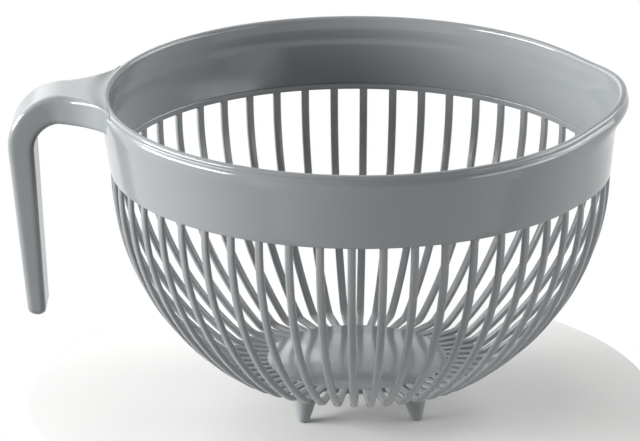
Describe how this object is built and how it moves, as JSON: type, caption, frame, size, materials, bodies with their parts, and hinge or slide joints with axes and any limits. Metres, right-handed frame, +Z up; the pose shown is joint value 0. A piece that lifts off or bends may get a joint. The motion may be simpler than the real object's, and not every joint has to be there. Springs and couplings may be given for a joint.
{
  "type": "colander with a hook handle",
  "caption": "Plastic colander: an open bowl of slender upright ribs under a plain band, with a rim bead, a pouring lip, a hook handle and four tapered feet.",
  "frame": {"origin": "on the table, under the middle of the whole object's bounding box; the bowl's own axis stands 17.3 mm towards +X", "axes": "+Z up; +X from the handle to the pouring lip; the object is much the same on both sides of the XZ plane"},
  "size_m": [0.2685, 0.2236, 0.1457],
  "materials": {
    "band": "gloss",
    "ribs": "gloss",
    "floor": "gloss",
    "handle": "gloss",
    "feet": "gloss"
  },
  "bodies": {
    "root": {"rib_01": "ribs", "rib_02": "ribs", "rib_03": "ribs", "rib_04": "ribs", "rib_05": "ribs", "rib_06": "ribs", "rib_07": "ribs", "rib_08": "ribs", "rib_09": "ribs", "rib_10": "ribs", "rib_11": "ribs", "rib_12": "ribs", "rib_13": "ribs", "rib_14": "ribs", "rib_15": "ribs", "rib_16": "ribs", "rib_17": "ribs", "rib_18": "ribs", "rib_19": "ribs", "rib_20": "ribs", "rib_21": "ribs", "rib_22": "ribs", "rib_23": "ribs", "rib_24": "ribs", "rib_25": "ribs", "rib_26": "ribs", "rib_27": "ribs", "rib_28": "ribs", "rib_29": "ribs", "rib_30": "ribs", "rib_31": "ribs", "rib_32": "ribs", "rib_33": "ribs", "rib_34": "ribs", "rib_35": "ribs", "rib_36": "ribs", "rib_37": "ribs", "rib_38": "ribs", "rib_39": "ribs", "rib_40": "ribs", "rib_41": "ribs", "rib_42": "ribs", "rib_43": "ribs", "rib_44": "ribs", "rib_45": "ribs", "rib_46": "ribs", "rib_47": "ribs", "rib_48": "ribs", "rib_49": "ribs", "rib_50": "ribs", "rib_ring": "band", "band": "band", "rim_bead": "band", "base_disc": "floor", "handle": "handle", "foot_front_right": "feet", "foot_back_right": "feet", "foot_back_left": "feet", "foot_front_left": "feet"}
  },
  "joints": []
}
